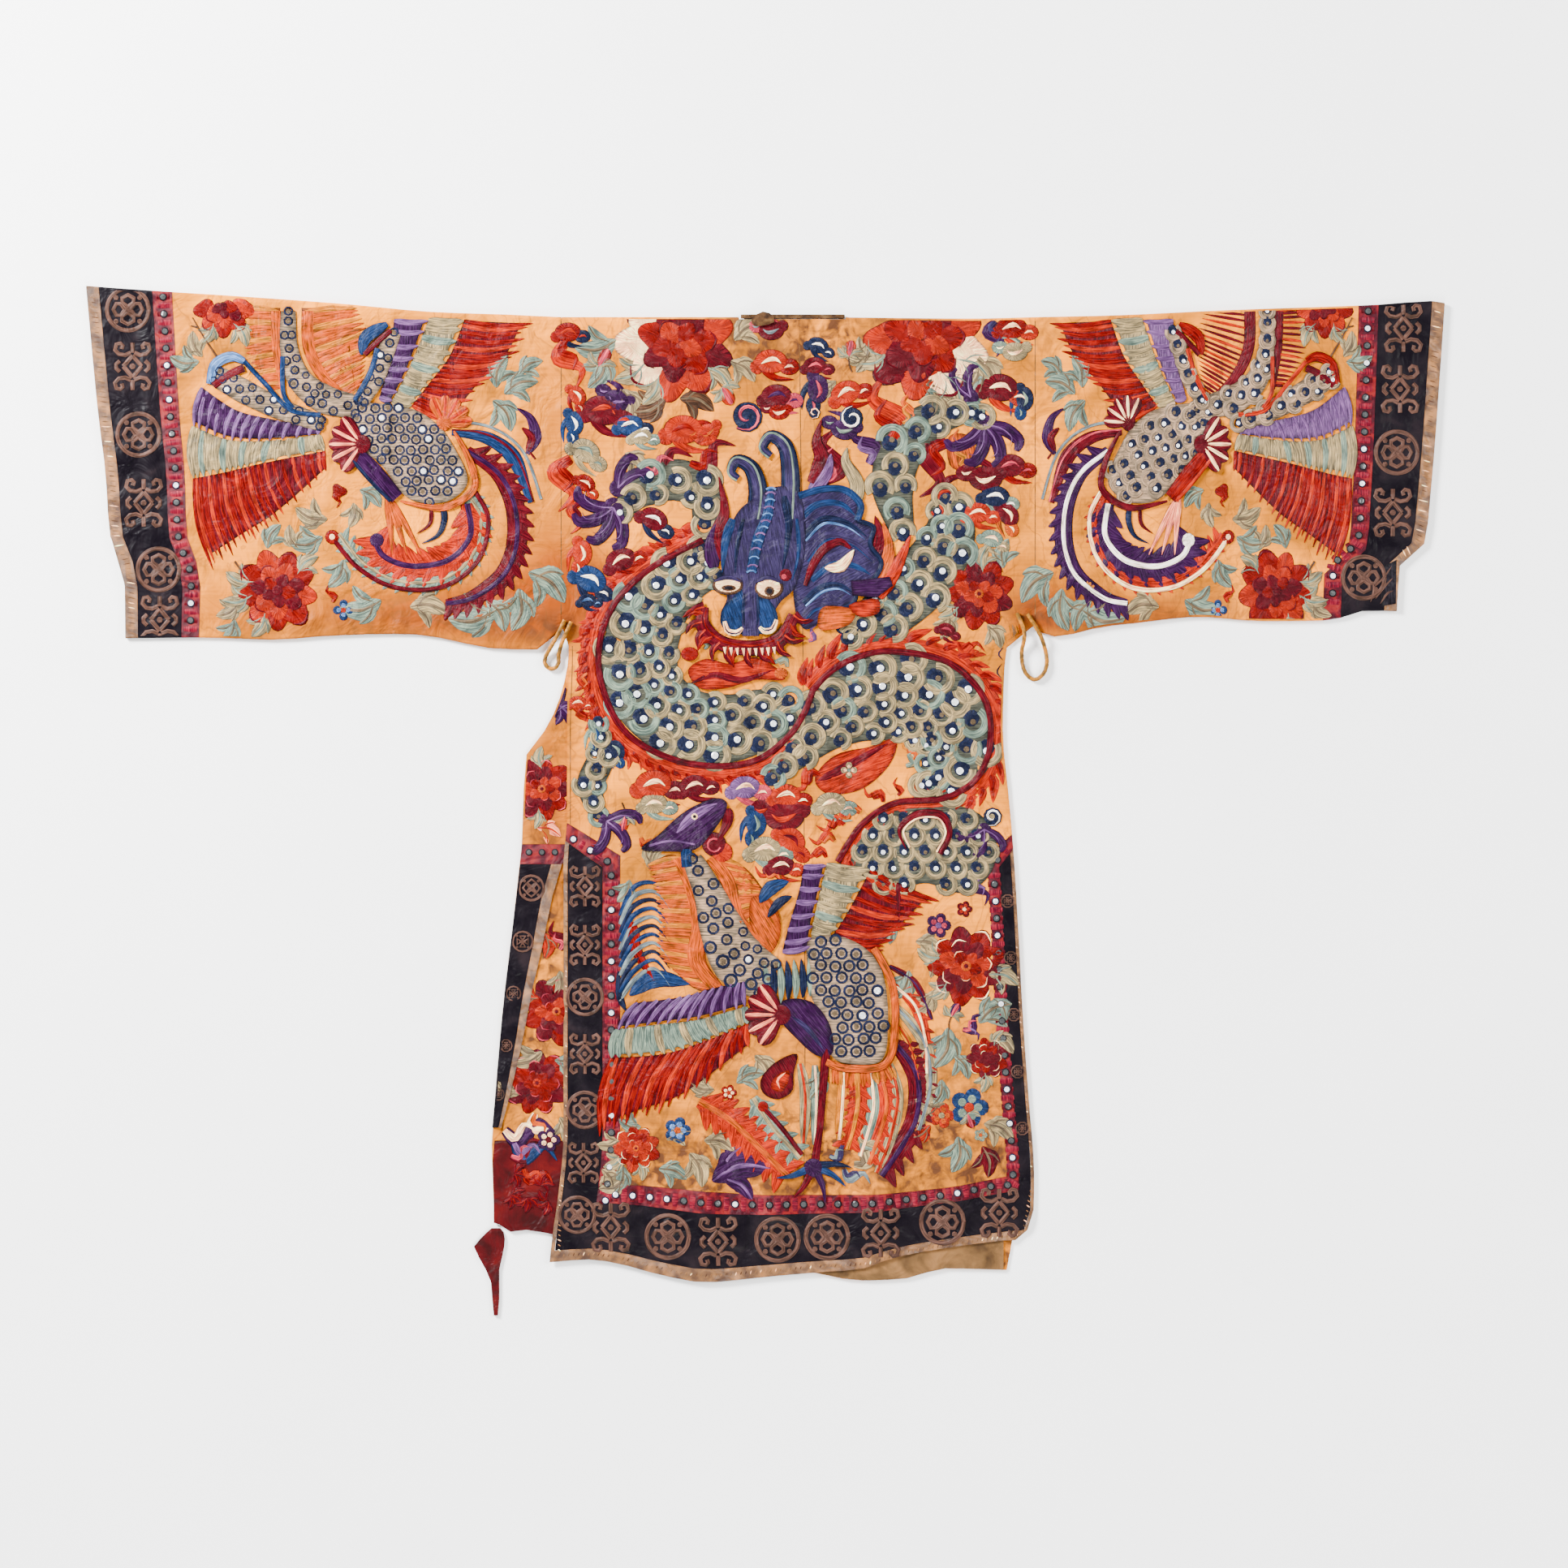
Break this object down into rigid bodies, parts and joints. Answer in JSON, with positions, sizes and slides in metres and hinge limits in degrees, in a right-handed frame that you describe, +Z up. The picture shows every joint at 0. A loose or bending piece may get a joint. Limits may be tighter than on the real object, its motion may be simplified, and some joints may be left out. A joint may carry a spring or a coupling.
{
  "type": "chinese dragon robe",
  "caption": "Wide-sleeved embroidered robe laid flat front up, with black and pink-red borders, a side-closing front, open side vents, cord loops and a red tie",
  "frame": {"origin": "middle of the robe's outline, on the surface that it lies on", "axes": "+X across the sleeves to the viewer's right, +Y towards the collar, +Z up from the surface"},
  "size_m": [1.9065, 1.4458, 0.0161],
  "materials": {
    "ground_silk": "matte",
    "black_satin": "satin",
    "pink_band": "satin",
    "metal_piping": "satin",
    "red_silk": "satin",
    "tan_lining": "matte",
    "binding": "matte",
    "gold_cord": "matte"
  },
  "bodies": {
    "root": {"body_left_half": "ground_silk", "body_right_half": "ground_silk", "left_sleeve": "ground_silk", "right_sleeve": "ground_silk", "inner_front": "ground_silk", "side_extension": "ground_silk", "front_black_band": "black_satin", "left_cuff_black_band": "black_satin", "right_cuff_black_band": "black_satin", "side_extension_black_band": "black_satin", "front_pink_band": "pink_band", "left_cuff_pink_band": "pink_band", "right_cuff_pink_band": "pink_band", "side_extension_pink_band": "pink_band", "front_piping": "metal_piping", "left_cuff_piping": "metal_piping", "right_cuff_piping": "metal_piping", "side_extension_piping": "metal_piping", "inner_front_hem": "red_silk", "red_tie": "red_silk", "lining_hem": "tan_lining", "neck_binding": "binding", "neck_binding_loose_end": "binding", "left_loop": "gold_cord", "right_loop": "gold_cord"}
  },
  "joints": []
}
